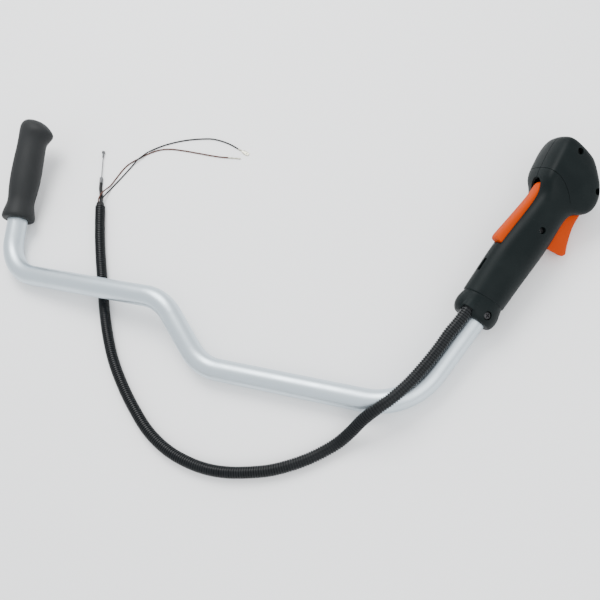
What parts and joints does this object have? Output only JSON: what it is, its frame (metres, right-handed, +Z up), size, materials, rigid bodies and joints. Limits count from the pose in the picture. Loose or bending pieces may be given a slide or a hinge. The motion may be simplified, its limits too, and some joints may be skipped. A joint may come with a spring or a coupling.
{
  "type": "brush cutter handlebar",
  "caption": "Bent aluminium handlebar for a brush cutter with a plain left grip, a throttle handle on the right, and a corrugated conduit with the throttle cable and switch leads.",
  "frame": {"origin": "on the tube's axis at the middle of the straight clamp section", "axes": "+X along the clamp section towards the throttle handle, +Z up from the surface that the bar lies on"},
  "size_m": [0.7409, 0.4207, 0.0775],
  "materials": {
    "tube_aluminium": "satin",
    "grip_rubber": "matte",
    "handle_plastic": "fine grained satin",
    "trigger_plastic": "satin",
    "lever_plastic": "satin",
    "slider_plastic": "satin",
    "dark_steel": "black oxide",
    "zinc_steel": "bright zinc",
    "wire_steel": "stranded",
    "contact_brass": "bright",
    "conduit_plastic": "satin",
    "plug_rubber": "matte",
    "sheath_plastic": "satin",
    "black_insulation": "satin",
    "brown_insulation": "satin",
    "tinned_terminal": "tinned"
  },
  "bodies": {
    "bar": {"handlebar_tube": "tube_aluminium", "left_grip": "grip_rubber", "handle_front_shell": "handle_plastic", "handle_rear_shell": "handle_plastic", "handle_screws": "dark_steel", "collar_bolt": "dark_steel", "collar_nut": "zinc_steel", "trigger_pin": "zinc_steel", "trigger_spring": "zinc_steel", "interlock_pin": "zinc_steel", "interlock_spring": "zinc_steel", "contact_blade": "contact_brass", "contact_post": "contact_brass", "conduit": "conduit_plastic", "conduit_end_plug": "plug_rubber", "cable_sheath": "sheath_plastic", "cable_end_ferrule": "zinc_steel", "sheath_in_handle": "sheath_plastic", "handle_end_ferrule": "zinc_steel", "wire_in_handle": "wire_steel", "black_lead": "black_insulation", "brown_lead": "brown_insulation", "black_terminal": "tinned_terminal", "brown_terminal": "tinned_terminal", "black_lead_in_handle": "black_insulation", "brown_lead_in_handle": "brown_insulation"},
    "trigger": {"throttle_trigger": "trigger_plastic", "trigger_nipple": "zinc_steel"},
    "interlock": {"interlock_lever": "lever_plastic"},
    "switch": {"stop_slider": "slider_plastic"},
    "cable_wire": {"throttle_wire": "wire_steel", "wire_nipple": "zinc_steel"}
  },
  "joints": [
    {"name": "trigger_pull", "type": "hinge", "parent": "bar", "child": "trigger", "pos_m": [0.23856, 0.25494, 0.01714], "axis": [-0.5875, 0.3251, -0.741], "range_deg": [0, 14], "stiffness_Nm_per_rad": 0.4, "springref_deg": -20.05, "deforming": ["trigger_spring", "wire_in_handle"]},
    {"name": "interlock_press", "type": "hinge", "parent": "bar", "child": "interlock", "pos_m": [0.20967, 0.24867, 0.03729], "axis": [0.5875, -0.3251, 0.741], "range_deg": [0, 5.5], "stiffness_Nm_per_rad": 0.5, "springref_deg": -11.46, "deforming": ["interlock_spring"]},
    {"name": "stop_slide", "type": "slide", "parent": "bar", "child": "switch", "axis": [0.4088, 0.9096, 0.075], "range_m": [0, 0.006]},
    {"name": "wire_pull", "type": "slide", "parent": "bar", "child": "cable_wire", "axis": [0.3256, -0.9455, 0], "range_m": [0, 0.007]}
  ],
  "couplings": [
    {"joint": "wire_pull", "follows": "trigger_pull", "m_per_rad": 0.028}
  ]
}
